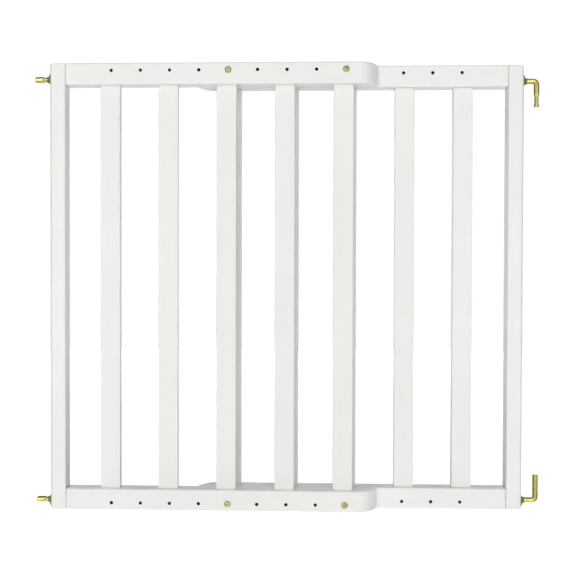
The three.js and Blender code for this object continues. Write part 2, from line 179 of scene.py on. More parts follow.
# Colours and finishes, and the scales that stretch a pattern along an axis
PAINT_SHADE = (0.845, 0.848, 0.822, 1)
PAINT_LIGHT = (0.880, 0.882, 0.856, 1)
PAINT_SPECULAR = 0.45
# Painted shade: the grey mixed into the paint where corners between pieces are occluded, and how far the
# occlusion looks
JOINT_PAINTED_SHADE = (0.66, 0.65, 0.62, 1)
JOINT_PAINTED_SHADE_REACH = 3 * MM
BRASS_SHADE = (0.34, 0.31, 0.09, 1)
BRASS_LIGHT = (0.46, 0.42, 0.14, 1)
WORN_BRASS_SHADE = (0.27, 0.25, 0.10, 1)
WORN_BRASS_LIGHT = (0.50, 0.47, 0.22, 1)
LACQUER_ROUGHNESS = 0.12
# The holes' walls: bare wood darkened nearly to black by painted shade
HOLE_SHADOW_DARK = (0.012, 0.010, 0.008, 1)
HOLE_SHADOW_PALE = (0.045, 0.036, 0.028, 1)
BEECH_SHADE = (0.50, 0.34, 0.19, 1)
BEECH_LIGHT = (0.68, 0.50, 0.31, 1)
STEEL_SHADE = (0.50, 0.51, 0.53, 1)
STEEL_LIGHT = (0.64, 0.65, 0.68, 1)
EVENLY = (1, 1, 1)
ALONG_X = (0.06, 1, 1)
ALONG_Y = (1, 0.1, 1)
ALONG_Z = (1, 1, 0.06)

# A colour Mix node's sockets have the same names as its other ones, so they are told by number.
MIX_FIRST = 6
MIX_SECOND = 7
MIX_RESULT = 2

SIDES = ("latch", "hinge")
ENDS = ("top", "bottom")
LEVELS = ("upper", "lower")


# ---------------------------------------------------------------- small mesh tools

def piece_from(name, bm):
    """Makes a linked object from a bmesh, with its normals facing out."""
    bmesh.ops.recalc_face_normals(bm, faces=bm.faces)
    mesh = bpy.data.meshes.new(name)
    bm.to_mesh(mesh)
    bm.free()
    piece = bpy.data.objects.new(name, mesh)
    bpy.context.scene.collection.objects.link(piece)
    return piece


def apply_modifiers(piece):
    """Writes a piece's modifiers into its mesh."""
    depsgraph = bpy.context.evaluated_depsgraph_get()
    piece.data = bpy.data.meshes.new_from_object(piece.evaluated_get(depsgraph))
    piece.modifiers.clear()


def smooth(piece, sharp_degrees):
    """Shades a piece smooth with sharp edges kept and its flat faces flat."""
    mesh = piece.data
    mesh.polygons.foreach_set("use_smooth", [True] * len(mesh.polygons))
    mesh.set_sharp_from_angle(angle=math.radians(sharp_degrees))
    weighted = piece.modifiers.new("weighted", "WEIGHTED_NORMAL")
    weighted.keep_sharp = True
    weighted.weight = 100
    apply_modifiers(piece)


def combine(piece, other, operation):
    """Cuts, joins or intersects a piece with another, and removes the other."""
    step = piece.modifiers.new("combine", "BOOLEAN")
    step.operation = operation
    step.solver = "EXACT"
    step.object = other
    apply_modifiers(piece)
    bpy.data.objects.remove(other)


def cut_out(piece, cutters):
    """Subtracts separate cutters that don't touch each other from a piece."""
    combine(piece, joined(cutters), "DIFFERENCE")


def joined(cutters):
    """Joins separate cutters that don't touch into one, so that they cut in one step."""
    bm = bmesh.new()
    for cutter in cutters:
        bm.from_mesh(cutter.data)
        bpy.data.objects.remove(cutter)
    return piece_from("cutter", bm)


def prism(name, outline, z0, z1):
    """A plain prism of an outline in X and Y."""
    bm = bmesh.new()
    rings(bm, [[bm.verts.new((x, y, z)) for x, y in outline] for z in (z0, z1)], False)
    return piece_from(name, bm)


def rounded_prism(name, outline, inner, roundings, z0, z1):
    """A prism whose two ends are rounded. At an end face the outline has shrunk to the inner one,
    and each point has its own height of rounding."""
    bm = bmesh.new()
    levels = []
    for step in range(ROUND_STEPS + 1):
        angle = math.pi / 2 * step / ROUND_STEPS
        levels.append((1 - math.sin(angle), 1 - math.cos(angle)))
    loops = []
    for end, towards in ((z0, 1), (z1, -1)):
        loop_levels = levels if towards > 0 else reversed(levels)
        for inset, rise in loop_levels:
            loop = []
            for (x, y), (inner_x, inner_y), rounding in zip(outline, inner, roundings):
                height = end + towards * rise * rounding
                point = (x + inset * (inner_x - x), y + inset * (inner_y - y), height)
                loop.append(bm.verts.new(point))
            loops.append(loop)
    rings(bm, loops, False)
    return piece_from(name, bm)


def corner(x, y, radius, start):
    """A quarter circle's points that round a corner, from a start angle in degrees. The corner is
    where its two tangents cross."""
    points = []
    middle = math.radians(start + 45)
    centre_x = x - radius * math.copysign(1, math.cos(middle))
    centre_y = y - radius * math.copysign(1, math.sin(middle))
    for step in range(ROUND_STEPS + 1):
        angle = math.radians(start + 90 * step / ROUND_STEPS)
        points.append((centre_x + radius * math.cos(angle), centre_y + radius * math.sin(angle)))
    return points


def box_cutter(low, high):
    """A plain box to cut with."""
    outline = [(low[0], low[1]), (high[0], low[1]), (high[0], high[1]), (low[0], high[1])]
    return prism("cutter", outline, low[2], high[2])


def rings(bm, loops, closed):
    """Joins loops of vertices by faces. closed joins the last to the first, and otherwise the
    two ends are capped."""
    count = len(loops[0])
    pairs = list(zip(loops, loops[1:]))
    if closed:
        pairs.append((loops[-1], loops[0]))
    for first, second in pairs:
        for i in range(count):
            j = (i + 1) % count
            bm.faces.new((first[i], first[j], second[j], second[i]))
    if not closed:
        bm.faces.new(list(reversed(loops[0])))
        bm.faces.new(loops[-1])


def turned(name, profile, axis_matrix, sides, closed=False):
    """A turned piece. The profile is (radius, height) pairs about the matrix's Z axis."""
    bm = bmesh.new()
    loops = []
    for radius, height in profile:
        loop = []
        for i in range(sides):
            angle = 2 * math.pi * i / sides
            point = Vector((radius * math.cos(angle), radius * math.sin(angle), height))
            loop.append(bm.verts.new(axis_matrix @ point))
        loops.append(loop)
    rings(bm, loops, closed)
    return piece_from(name, bm)


def quarter(centre_radius, centre_height, radius, start, end, steps):
    """Profile points round an arc, from one angle to another in degrees."""
    points = []
    for step in range(steps + 1):
        angle = math.radians(start + (end - start) * step / steps)
        points.append((centre_radius + radius * math.cos(angle), centre_height + radius * math.sin(angle)))
    return points


def eased(points, radius, steps):
    """Rounds the inner corners of an open profile by short curves of about this radius, which
    take less than half of each side."""
    result = [points[0]]
    for before, here, after in zip(points, points[1:], points[2:]):
        here = Vector(here)
        back = Vector(before) - here
        ahead = Vector(after) - here
        reach = min(radius, EASING_SHARE * back.length, EASING_SHARE * ahead.length)
        start = here + back.normalized() * reach
        end = here + ahead.normalized() * reach
        for step in range(steps + 1):
            t = step / steps
            blended = start * (1 - t) ** 2 + here * 2 * t * (1 - t) + end * t ** 2
            result.append(tuple(blended))
    result.append(points[-1])
    return result


# ---------------------------------------------------------------- places in the frame

def axis_along(direction, origin):
    """A matrix whose Z axis points along a direction from an origin."""
    turn = Vector((0, 0, 1)).rotation_difference(Vector(direction)).to_matrix().to_4x4()
    return Matrix.Translation(origin) @ turn


def frame_matrix(side):
    """From a wooden frame's own coordinates to the row's. A frame's x runs inwards from its
    post's outer face, and its y from the face that its rails' ends are rounded on."""
    low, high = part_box(f"{side}_post")
    if side == "latch":
        return Matrix.Translation((low.x, low.y, 0))
    return Matrix.Translation((high.x, high.y, 0)) @ Matrix.Rotation(math.pi, 4, "Z")


def size_of(node):
    low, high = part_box(node)
    return high - low


def middle_of(node):
    low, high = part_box(node)
    return (low + high) / 2


POST_SIZE = size_of("latch_post")
RAIL_SIZE = size_of("latch_top_rail")
SLAT_SIZE = size_of("latch_slat_1")
HEIGHT = POST_SIZE.z
DEPTH = POST_SIZE.y
FRAME_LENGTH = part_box("latch_top_rail")[1].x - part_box("latch_post")[0].x
HOLE_HEIGHTS = {
    "top": middle_of("clamp_screw_upper_left").z,
    "bottom": middle_of("clamp_screw_lower_left").z,
}


# ---------------------------------------------------------------- materials

def node_material(name):
    """A material with a Principled surface, and short ways to its nodes."""
    material = bpy.data.materials.new(name)
    material.use_nodes = True
    return material, material.node_tree, material.node_tree.nodes["Principled BSDF"]


def add_node(tree, kind, **values):
    """Adds a node and sets its properties and inputs by name."""
    node = tree.nodes.new(kind)
    for key, value in values.items():
        if hasattr(node, key):
            setattr(node, key, value)
        else:
            node.inputs[key.replace("_", " ")].default_value = value
    return node


def stretched_coordinates(tree, scale):
    """Object coordinates scaled along each axis, so that a pattern runs with the grain."""
    coordinates = add_node(tree, "ShaderNodeTexCoord")
    mapping = add_node(tree, "ShaderNodeMapping")
    mapping.inputs["Scale"].default_value = scale
    tree.links.new(coordinates.outputs["Object"], mapping.inputs["Vector"])
    return mapping.outputs["Vector"]


def noise(tree, vector, scale, detail, roughness=0.5):
    node = add_node(tree, "ShaderNodeTexNoise")
    node.inputs["Scale"].default_value = scale
    node.inputs["Detail"].default_value = detail
    node.inputs["Roughness"].default_value = roughness
    tree.links.new(vector, node.inputs["Vector"])
    return node.outputs["Fac"]


def ramp(tree, factor, low_colour, high_colour, low=0.3, high=0.7):
    """Blends two colours by a factor."""
    node = add_node(tree, "ShaderNodeValToRGB")
    node.color_ramp.elements[0].position = low
    node.color_ramp.elements[0].color = low_colour
    node.color_ramp.elements[1].position = high
    node.color_ramp.elements[1].color = high_colour
    tree.links.new(factor, node.inputs["Fac"])
    return node.outputs["Color"]


def spread(tree, factor, low, high):
    """Maps a factor from 0 to 1 to a range of numbers."""
    node = add_node(tree, "ShaderNodeMapRange")
    node.inputs["To Min"].default_value = low
    node.inputs["To Max"].default_value = high
    tree.links.new(factor, node.inputs["Value"])
    return node.outputs["Result"]


def bump(tree, height, distance, strength, normal=None):
    node = add_node(tree, "ShaderNodeBump")
    node.inputs["Distance"].default_value = distance
    node.inputs["Strength"].default_value = strength
    tree.links.new(height, node.inputs["Height"])
    if normal is not None:
        tree.links.new(normal, node.inputs["Normal"])
    return node.outputs["Normal"]


def painted_wood(name, grain_scale):
    """Satin white paint over wood: the grain shows faintly through, with a fine brushed skin, and
    the corners where two pieces meet are greyed a little by painted shade."""
    material, tree, surface = node_material(name)
    grain = noise(tree, stretched_coordinates(tree, grain_scale), scale=60, detail=5, roughness=0.6)
    even = stretched_coordinates(tree, EVENLY)
    cloud = noise(tree, even, scale=9, detail=3)
    skin = noise(tree, even, scale=900, detail=2, roughness=0.6)
    paint = ramp(tree, cloud, PAINT_SHADE, PAINT_LIGHT, low=0.25, high=0.75)
    # Painted shade: ambient occlusion greys the paint in the corners between pieces
    crevice_shade = add_node(tree, "ShaderNodeAmbientOcclusion", samples=4)
    crevice_shade.inputs["Distance"].default_value = JOINT_PAINTED_SHADE_REACH
    painted_shade = add_node(tree, "ShaderNodeMix", data_type="RGBA")
    tree.links.new(crevice_shade.outputs["AO"], painted_shade.inputs["Factor"])
    painted_shade.inputs[MIX_FIRST].default_value = JOINT_PAINTED_SHADE
    tree.links.new(paint, painted_shade.inputs[MIX_SECOND])
    tree.links.new(painted_shade.outputs[MIX_RESULT], surface.inputs["Base Color"])
    tree.links.new(spread(tree, grain, low=0.36, high=0.52), surface.inputs["Roughness"])
    grain_normal = bump(tree, grain, distance=0.12 * MM, strength=0.55)
    normal = bump(tree, skin, distance=0.03 * MM, strength=0.5, normal=grain_normal)
    tree.links.new(normal, surface.inputs["Normal"])
    surface.inputs["Specular IOR Level"].default_value = PAINT_SPECULAR
    return material


def bare_wood(name, grain_scale, dark, light):
    """Unpainted beech, with fine flecks along the grain."""
    material, tree, surface = node_material(name)
    grain = noise(tree, stretched_coordinates(tree, grain_scale), scale=90, detail=6, roughness=0.65)
    tree.links.new(ramp(tree, grain, dark, light), surface.inputs["Base Color"])
    tree.links.new(spread(tree, grain, low=0.6, high=0.8), surface.inputs["Roughness"])
    tree.links.new(bump(tree, grain, distance=0.2 * MM, strength=0.6), surface.inputs["Normal"])
    return material


def metal(name, dark, light, scratch_scale, rough, lacquer=0.0):
    """Bright metal with a cloudy film, fine marks and perhaps a clear lacquer."""
    material, tree, surface = node_material(name)
    even = stretched_coordinates(tree, EVENLY)
    film = noise(tree, even, scale=160, detail=4, roughness=0.6)
    along = stretched_coordinates(tree, scratch_scale)
    marks = noise(tree, along, scale=700, detail=3, roughness=0.7)
    tree.links.new(ramp(tree, film, dark, light), surface.inputs["Base Color"])
    tree.links.new(spread(tree, marks, *rough), surface.inputs["Roughness"])
    tree.links.new(bump(tree, marks, distance=0.015 * MM, strength=0.4), surface.inputs["Normal"])
    surface.inputs["Metallic"].default_value = 1.0
    surface.inputs["Coat Weight"].default_value = lacquer
    surface.inputs["Coat Roughness"].default_value = LACQUER_ROUGHNESS
    return material


MATERIALS = {
    "paint_upright": painted_wood("paint_upright", ALONG_Z),
    "paint_rail": painted_wood("paint_rail", ALONG_X),
    # Painted shade: the holes' walls are bare wood darkened nearly to black
    "hole_wall_painted_shade": bare_wood("hole_wall_painted_shade", ALONG_Y, HOLE_SHADOW_DARK, HOLE_SHADOW_PALE),
    "beech": bare_wood("beech", ALONG_X, BEECH_SHADE, BEECH_LIGHT),
    "brass": metal("brass", BRASS_SHADE, BRASS_LIGHT, ALONG_Z, rough=(0.22, 0.36), lacquer=0.35),
    "worn_brass": metal("worn_brass", WORN_BRASS_SHADE, WORN_BRASS_LIGHT, EVENLY, rough=(0.3, 0.5)),
    "steel": metal("steel", STEEL_SHADE, STEEL_LIGHT, ALONG_X, rough=(0.25, 0.45)),
}


def set_materials(piece, *names):
    piece.data.materials.clear()
    for name in names:
        piece.data.materials.append(MATERIALS[name])


def place(piece, node, body):
    """Puts a finished piece in a CAD node's stead."""
    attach(piece, body)
    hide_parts(node)


# ---------------------------------------------------------------- wooden pieces

def end_height(end, distance):
    """The height of something measured from the outer edge of the top or the bottom rail."""
    return HEIGHT - distance if end == "top" else distance


def fitting_height(level):
    return middle_of(f"latch_{level}_insert").z


def post_loop(x0, x1, y0, y1, outer_radius, joint_radius):
    """A post's plan, anticlockwise. Its outer face is at x0."""
    points = corner(x1, y1, joint_radius, 0)
    points += corner(x0, y1, outer_radius, 90)
    points += corner(x0, y0, outer_radius, 180)
    points += corner(x1, y0, joint_radius, 270)
    return points


def make_post(side):
    """A post with rounded edges, bored for its inserts and its rails' dowels."""
    width = POST_SIZE.x
    outline = post_loop(0, width, 0, DEPTH, OUTER_ROUND, JOINT_ROUND)
    inner = post_loop(OUTER_ROUND, width - JOINT_ROUND, EDGE_ROUND, DEPTH - EDGE_ROUND, SHARP, SHARP)
    roundings = []
    for x, y in outline:
        nearness = max(0, 1 - x / OUTER_ROUND)
        roundings.append(EDGE_ROUND + (OUTER_ROUND - EDGE_ROUND) * nearness)
    post = rounded_prism(f"{side}_post_painted", outline, inner, roundings, 0, HEIGHT)
    insert_size = size_of("latch_upper_insert")
    cutters = []
    for level in LEVELS:
        origin = (-INSERT_HOLE_OVERRUN, DEPTH / 2, fitting_height(level))
        matrix = axis_along((1, 0, 0), origin)
        radius = insert_size.z / 2 + SNUG
        profile = [(radius, 0), (radius, insert_size.x + 2 * INSERT_HOLE_OVERRUN)]
        cutters.append(turned("cutter", profile, matrix, INSERT_HOLE_SIDES))
    cutters += dowel_cutters(side, ENDS)
    cut_out(post, cutters)
    finish_wood(post, side, f"{side}_post", "paint_upright")
    return post


def dowel_cutters(side, ends):
    """Cutters for the dowels' holes, in the frame's own coordinates."""
    cutters = []
    to_local = frame_matrix(side).inverted()
    for end in ends:
        for number in DOWEL_NUMBERS:
            node = f"{side}_{end}_dowel_{number}"
            size = size_of(node)
            centre = to_local @ middle_of(node)
            matrix = axis_along((1, 0, 0), (centre.x - size.x / 2 - SNUG, centre.y, centre.z))
            radius = size.z / 2 + SNUG
            profile = [(radius, 0), (radius, size.x + 2 * SNUG)]
            cutters.append(turned("cutter", profile, matrix, DOWEL_HOLE_SIDES))
    return cutters


def rail_loop(x0, y0, y1, end_radius, joint_radius, tip_radius):
    """A rail's plan, anticlockwise: square at the post, at x0, with an arc at the free end of its
    outer face, y0. The arc's centre is the same for every inset of the plan."""
    drop = RAIL_END_RADIUS - DEPTH
    centre_x = FRAME_LENGTH - math.sqrt(RAIL_END_RADIUS ** 2 - drop ** 2)
    centre_y = RAIL_END_RADIUS
    # The small circle at the tip touches the big arc from inside and the back face.
    small_y = y1 - tip_radius
    reach = end_radius - tip_radius
    tilt = math.asin((small_y - centre_y) / reach)
    small_x = centre_x + reach * math.cos(tilt)
    points = []
    for step in range(RAIL_END_STEPS + 1):
        angle = -math.pi / 2 + (tilt + math.pi / 2) * step / RAIL_END_STEPS
        points.append((centre_x + end_radius * math.cos(angle), centre_y + end_radius * math.sin(angle)))
    for step in range(1, ROUND_STEPS + 1):
        angle = tilt + (math.pi / 2 - tilt) * step / ROUND_STEPS
        points.append((small_x + tip_radius * math.cos(angle), small_y + tip_radius * math.sin(angle)))
    points += corner(x0, y1, joint_radius, 90)
    points += corner(x0, y0, joint_radius, 180)
    return points


def hole_cutter(x, z):
    """A round hole right through a rail, its rims eased."""
    radius = HOLE_RADIUS
    profile = [(radius + HOLE_RIM + CLEAR, -CLEAR), (radius, HOLE_RIM)]
    profile += [(r, DEPTH - h) for r, h in reversed(profile)]
    return turned("cutter", profile, axis_along((0, 1, 0), (x, 0, z)), HOLE_SIDES)


def make_rail(side, end):
    """A rail with rounded edges, its row of holes, the housings for the slats and the holes for
    its dowels."""
    low = min(end_height(end, 0), end_height(end, RAIL_SIZE.z))
    start = POST_SIZE.x + JOINT_GAP
    outline = rail_loop(start, 0, DEPTH, RAIL_END_RADIUS, JOINT_ROUND, TIP_ROUND)
    inner = rail_loop(start + JOINT_ROUND, EDGE_ROUND, DEPTH - EDGE_ROUND,
                      RAIL_END_RADIUS - EDGE_ROUND, SHARP, SHARP)
    roundings = [EDGE_ROUND] * len(outline)
    rail = rounded_prism(f"{side}_{end}_rail_painted", outline, inner, roundings, low, low + RAIL_SIZE.z)
    hole_z = HOLE_HEIGHTS[end]
    holes = [hole_cutter(FIRST_HOLE + HOLE_PITCH * i, hole_z) for i in range(HOLE_COUNT)]
    cut_out(rail, holes)
    to_local = frame_matrix(side).inverted()
    housings = []
    for number in range(1, SLAT_COUNT + 1):
        centre = to_local @ middle_of(f"{side}_slat_{number}")
        half = SLAT_SIZE / 2 + Vector((SNUG, SNUG, SNUG))
        housings.append(slat_shape("cutter", centre, half, SLAT_ROUND))
    cut_out(rail, housings)
    cut_out(rail, dowel_cutters(side, [end]))
    finish_wood(rail, side, f"{side}_{end}_rail", "paint_rail")
    # Painted shade darkens the walls of the holes nearly to black
    paint_shade_in_holes(rail, side, hole_z)
    return rail


def paint_shade_in_holes(rail, side, hole_z):
    """Gives the walls of a rail's holes bare wood, darkened nearly to black by painted shade."""
    rail.data.materials.append(MATERIALS["hole_wall_painted_shade"])
    to_local = frame_matrix(side).inverted()
    for face in rail.data.polygons:
        centre = to_local @ face.center
        offset = (centre.x - FIRST_HOLE) / HOLE_PITCH
        nearest = FIRST_HOLE + HOLE_PITCH * round(offset)
        distance = math.hypot(centre.x - nearest, centre.z - hole_z)
        inside = HOLE_WALL_MARGIN < centre.y < DEPTH - HOLE_WALL_MARGIN
        if distance < HOLE_WALL_REACH and inside:
            face.material_index = 1


def slat_shape(name, centre, half, radius):
    """A flat bar along Z with eased long edges, about a centre."""
    outline = []
    corners = [(1, 1, 0), (-1, 1, 90), (-1, -1, 180), (1, -1, 270)]
    for sx, sy, first in corners:
        for step in range(SLAT_ROUND_STEPS + 1):
            angle = math.radians(first + 90 * step / SLAT_ROUND_STEPS)
            x = centre.x + sx * (half.x - radius) + radius * math.cos(angle)
            y = centre.y + sy * (half.y - radius) + radius * math.sin(angle)
            outline.append((x, y))
    return prism(name, outline, centre.z - half.z, centre.z + half.z)


def make_slat(side, number):
    node = f"{side}_slat_{number}"
    centre = frame_matrix(side).inverted() @ middle_of(node)
    slat = slat_shape(f"{node}_painted", centre, SLAT_SIZE / 2, SLAT_ROUND)
    finish_wood(slat, side, node, "paint_upright")
    return slat


def finish_wood(piece, side, node, material):
    """Moves a wooden piece from its frame's own place to the row's, and dresses it."""
    piece.data.transform(frame_matrix(side))
    smooth(piece, WOOD_SHARP_DEGREES)
    set_materials(piece, material)
    place(piece, node, f"{side}_frame")


for side in SIDES:
    make_post(side)
    for end in ENDS:
        make_rail(side, end)
    for number in range(1, SLAT_COUNT + 1):
        make_slat(side, number)
    for end in ENDS:
        for number in DOWEL_NUMBERS:
            set_materials(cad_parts[f"{side}_{end}_dowel_{number}"], "beech")
    for level in LEVELS:
        set_materials(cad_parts[f"{side}_{level}_insert"], "steel")


# ---------------------------------------------------------------- brass pieces

def finish_brass(piece, node, body, material="brass"):
    smooth(piece, BRASS_SHARP_DEGREES)
    set_materials(piece, material)
    place(piece, node, body)


def outward(side):
    """The direction out of a frame's post."""
    return Vector((-1, 0, 0)) if side == "latch" else Vector((1, 0, 0))


def post_face(side, level):
    """The point where a fitting's axis meets the outer face of its post."""
    low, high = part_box(f"{side}_post")
    x = low.x if side == "latch" else high.x
    return Vector((x, (low.y + high.y) / 2, fitting_height(level)))


def make_rosette(side, level):
    """A thin trumpet-shaped ring that hides the mouth of the insert."""
    node = f"{side}_{level}_rosette"
    size = size_of(node)
    rim = size.y / 2
    depth = size.x
    bore = ROD_RADIUS + ROSETTE_PLAY
    collar = bore + ROSETTE_SKIN
    outside = []
    inside = []
    for step in range(ROSETTE_STEPS + 1):
        rise = step / ROSETTE_STEPS
        flare = (1 - rise) ** ROSETTE_FLARE
        height = ROSETTE_RIM + (depth - ROSETTE_RIM) * rise
        outside.append((collar + (rim - collar) * flare, height))
        inside.append((bore + (rim - collar) * flare, height - ROSETTE_RIM))
    lip_radius = ROSETTE_RIM / 2
    end_radius = ROSETTE_SKIN / 2
    lip = quarter(rim - lip_radius, lip_radius, lip_radius, -90, 60, ROSETTE_LIP_STEPS)
    end = quarter(collar - end_radius, depth - end_radius, end_radius, 0, 180, ROSETTE_END_STEPS)
    profile = lip + outside[1:-1] + end + list(reversed(inside[:-1]))
    gap = abs((middle_of(node) - post_face(side, level)).x) - depth / 2
    origin = post_face(side, level) + outward(side) * gap
    matrix = axis_along(outward(side), origin)
    rosette = turned(f"{node}_flared", profile, matrix, ROSETTE_SIDES, closed=True)
    finish_brass(rosette, node, f"{side}_frame")


def groove_at(distance, turn, start, end, pitch, depth):
    """How deep a helical thread cuts at a distance along a rod, at a turn from 0 to 1. The thread
    fades in and out over one pitch."""
    if not start < distance < end:
        return 0
    wave = abs(2 * ((distance / pitch - turn) % 1) - 1)
    fade = min(1, (distance - start) / pitch, (end - distance) / pitch)
    return depth * wave * fade


def threaded_heights(start, end, pitch):
    """Heights close enough together to show a thread's crests and roots."""
    count = round((end - start) / pitch * THREAD_STEPS)
    return [start + (end - start) * step / count for step in range(count + 1)]


def threaded_rod(name, profile, matrix, sides, thread):
    """A turned rod whose profile runs from one end to the other, with a thread cut into it.
    thread is (start, end, pitch, depth) along the rod."""
    bm = bmesh.new()
    loops = []
    for radius, height in profile:
        loop = []
        for i in range(sides):
            angle = 2 * math.pi * i / sides
            reach = radius - groove_at(height, i / sides, *thread)
            point = Vector((reach * math.cos(angle), reach * math.sin(angle), height))
            loop.append(bm.verts.new(matrix @ point))
        loops.append(loop)
    rings(bm, loops, False)
    return piece_from(name, bm)


def make_stud(level):
    """A latch stud: a rod threaded into the post, a neck and a long round head."""
    node = f"{level}_latch_stud"
    low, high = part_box(node)
    tip = high.x - low.x
    in_post = high.x - post_face("latch", level).x
    thread = (ROD_CHAMFER, in_post, ROD_THREAD_PITCH, ROD_THREAD_DEPTH)
    profile = [(ROD_RADIUS - ROD_CHAMFER, 0)]
    profile += [(ROD_RADIUS, height) for height in threaded_heights(ROD_CHAMFER, in_post, ROD_THREAD_PITCH)]
    head = [(ROD_RADIUS, in_post), (ROD_RADIUS, tip - STUD_SHOULDER)]
    head += [(STUD_NECK_RADIUS, tip - STUD_NECK[1]), (STUD_NECK_RADIUS, tip - STUD_NECK[0])]
    head += [(STUD_HEAD_RADIUS, tip - STUD_HEAD_LENGTH), (STUD_HEAD_RADIUS, tip - STUD_TAPER)]
    head += [(STUD_TIP_RADIUS, tip - ROD_CHAMFER), (STUD_TIP_RADIUS - ROD_CHAMFER, tip)]
    cup = STUD_TIP_RADIUS - STUD_CUP
    head += [(cup, tip), (cup - ROD_CHAMFER, tip - ROD_CHAMFER), (SHARP, tip - ROD_CHAMFER)]
    profile += eased(head, STUD_EASING, STUD_EASING_STEPS)[1:]
    origin = Vector((high.x, (low.y + high.y) / 2, (low.z + high.z) / 2))
    matrix = axis_along((-1, 0, 0), origin)
    stud = threaded_rod(f"{node}_turned", profile, matrix, STUD_SIDES, thread)
    finish_brass(stud, node, f"{level}_stud")


def pin_radius(from_tip, necked):
    """The radius of a hook's leg at a distance from its tip."""
    if from_tip < ROD_CHAMFER:
        return ROD_RADIUS - ROD_CHAMFER + from_tip
    if not necked or not PIN_SHOULDERS[0] < from_tip < PIN_SHOULDERS[1]:
        return ROD_RADIUS
    if from_tip < PIN_NECK[0]:
        blend = (from_tip - PIN_SHOULDERS[0]) / (PIN_NECK[0] - PIN_SHOULDERS[0])
    elif from_tip > PIN_NECK[1]:
        blend = (PIN_SHOULDERS[1] - from_tip) / (PIN_SHOULDERS[1] - PIN_NECK[1])
    else:
        blend = 1
    return ROD_RADIUS + (PIN_NECK_RADIUS - ROD_RADIUS) * blend * blend * (3 - 2 * blend)


def hook_rows(start, reach, leg, direction, in_post, necked):
    """The rod's cross-sections from its end in the post to its tip: each has a place relative to
    the post's face, a heading, a radius and a distance along the threaded part."""
    along = Vector((1, 0, 0))
    down = Vector((0, 0, direction))
    rows = [(along * start, along, ROD_RADIUS - ROD_CHAMFER, 0)]
    for distance in threaded_heights(ROD_CHAMFER, in_post, ROD_THREAD_PITCH):
        rows.append((along * (start + distance), along, ROD_RADIUS, distance))
    straight = reach - HOOK_BEND
    for step in range(1, HOOK_ARM_STEPS):
        rows.append((along * (straight * step / HOOK_ARM_STEPS), along, ROD_RADIUS, in_post))
    for step in range(HOOK_BEND_STEPS + 1):
        angle = math.pi / 2 * step / HOOK_BEND_STEPS
        point = along * (straight + HOOK_BEND * math.sin(angle))
        point += down * HOOK_BEND * (1 - math.cos(angle))
        heading = along * math.cos(angle) + down * math.sin(angle)
        rows.append((point, heading, ROD_RADIUS, in_post))
    for step in range(1, PIN_STEPS):
        drop = HOOK_BEND + (leg - ROD_CHAMFER - HOOK_BEND) * step / PIN_STEPS
        rows.append((along * reach + down * drop, down, pin_radius(leg - drop, necked), in_post))
    rows.append((along * reach + down * (leg - ROD_CHAMFER), down, ROD_RADIUS, in_post))
    rows.append((along * reach + down * leg, down, ROD_RADIUS - ROD_CHAMFER, in_post))
    return rows


def make_hook(level):
    """A hinge hook: a round rod threaded into the post and bent square. Its leg is the hinge's
    pin, and the upper one has a neck."""
    node = f"{level}_hinge_hook"
    low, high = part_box(node)
    face = post_face("hinge", level)
    in_post = face.x - low.x
    reach = high.x - ROD_RADIUS - face.x
    leg = high.z - low.z - ROD_RADIUS
    if level == "upper":
        direction = -1
        axis_z = high.z - ROD_RADIUS
    else:
        direction = 1
        axis_z = low.z + ROD_RADIUS
    origin = Vector((face.x, face.y, axis_z))
    across = Vector((0, 1, 0))
    thread = (ROD_CHAMFER, in_post, ROD_THREAD_PITCH, ROD_THREAD_DEPTH)
    bm = bmesh.new()
    loops = []
    rows = hook_rows(-in_post, reach, leg, direction, in_post, level == "upper")
    for point, heading, radius, distance in rows:
        other = heading.cross(across)
        loop = []
        for i in range(ROD_SIDES):
            angle = 2 * math.pi * i / ROD_SIDES
            out = radius - groove_at(distance, i / ROD_SIDES, *thread)
            offset = across * (out * math.cos(angle)) + other * (out * math.sin(angle))
            loop.append(bm.verts.new(origin + point + offset))
        loops.append(loop)
    rings(bm, loops, False)
    hook = piece_from(f"{node}_bent", bm)
    finish_brass(hook, node, f"{level}_hook")


def across_depth(node):
    """A matrix whose Z axis runs from the front of a round piece to its back, and the piece's
    radius and depth."""
    low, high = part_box(node)
    origin = Vector(((low.x + high.x) / 2, low.y, (low.z + high.z) / 2))
    return axis_along((0, 1, 0), origin), (high.x - low.x) / 2, high.y - low.y


def make_screw(place_name):
    """A domed, slotted screw with a plain shank and a threaded end."""
    node = f"clamp_screw_{place_name}"
    matrix, head_radius, length = across_depth(node)
    thread_start = length - SCREW_THREAD_LENGTH
    thread_end = length - SCREW_CHAMFER
    profile = []
    for step in range(1, DOME_STEPS + 1):
        angle = math.pi / 2 * step / DOME_STEPS
        rise = (SCREW_HEAD_HEIGHT - SCREW_HEAD_EDGE) * (1 - math.cos(angle))
        profile.append((head_radius * math.sin(angle), rise))
    profile.append((head_radius - SCREW_HEAD_EDGE, SCREW_HEAD_HEIGHT))
    profile.append((SCREW_RADIUS, SCREW_HEAD_HEIGHT))
    heights = threaded_heights(thread_start, thread_end, SCREW_THREAD_PITCH)
    profile += [(SCREW_RADIUS, height) for height in heights]
    profile.append((SCREW_RADIUS - SCREW_CHAMFER, length))
    thread = (thread_start, thread_end, SCREW_THREAD_PITCH, SCREW_THREAD_DEPTH)
    screw = threaded_rod(f"{node}_slotted", profile, matrix, SCREW_SIDES, thread)
    half_width = SCREW_SLOT_WIDTH / 2
    slot = box_cutter((-head_radius - CLEAR, -half_width, -CLEAR),
                      (head_radius + CLEAR, half_width, SCREW_SLOT_DEPTH))
    turn = Matrix.Rotation(math.radians(SCREW_SLOT_TURNS[place_name]), 4, "Z")
    slot.data.transform(matrix @ turn)
    cut_out(screw, [slot])
    finish_brass(screw, node, f"screw_{place_name}", "worn_brass")


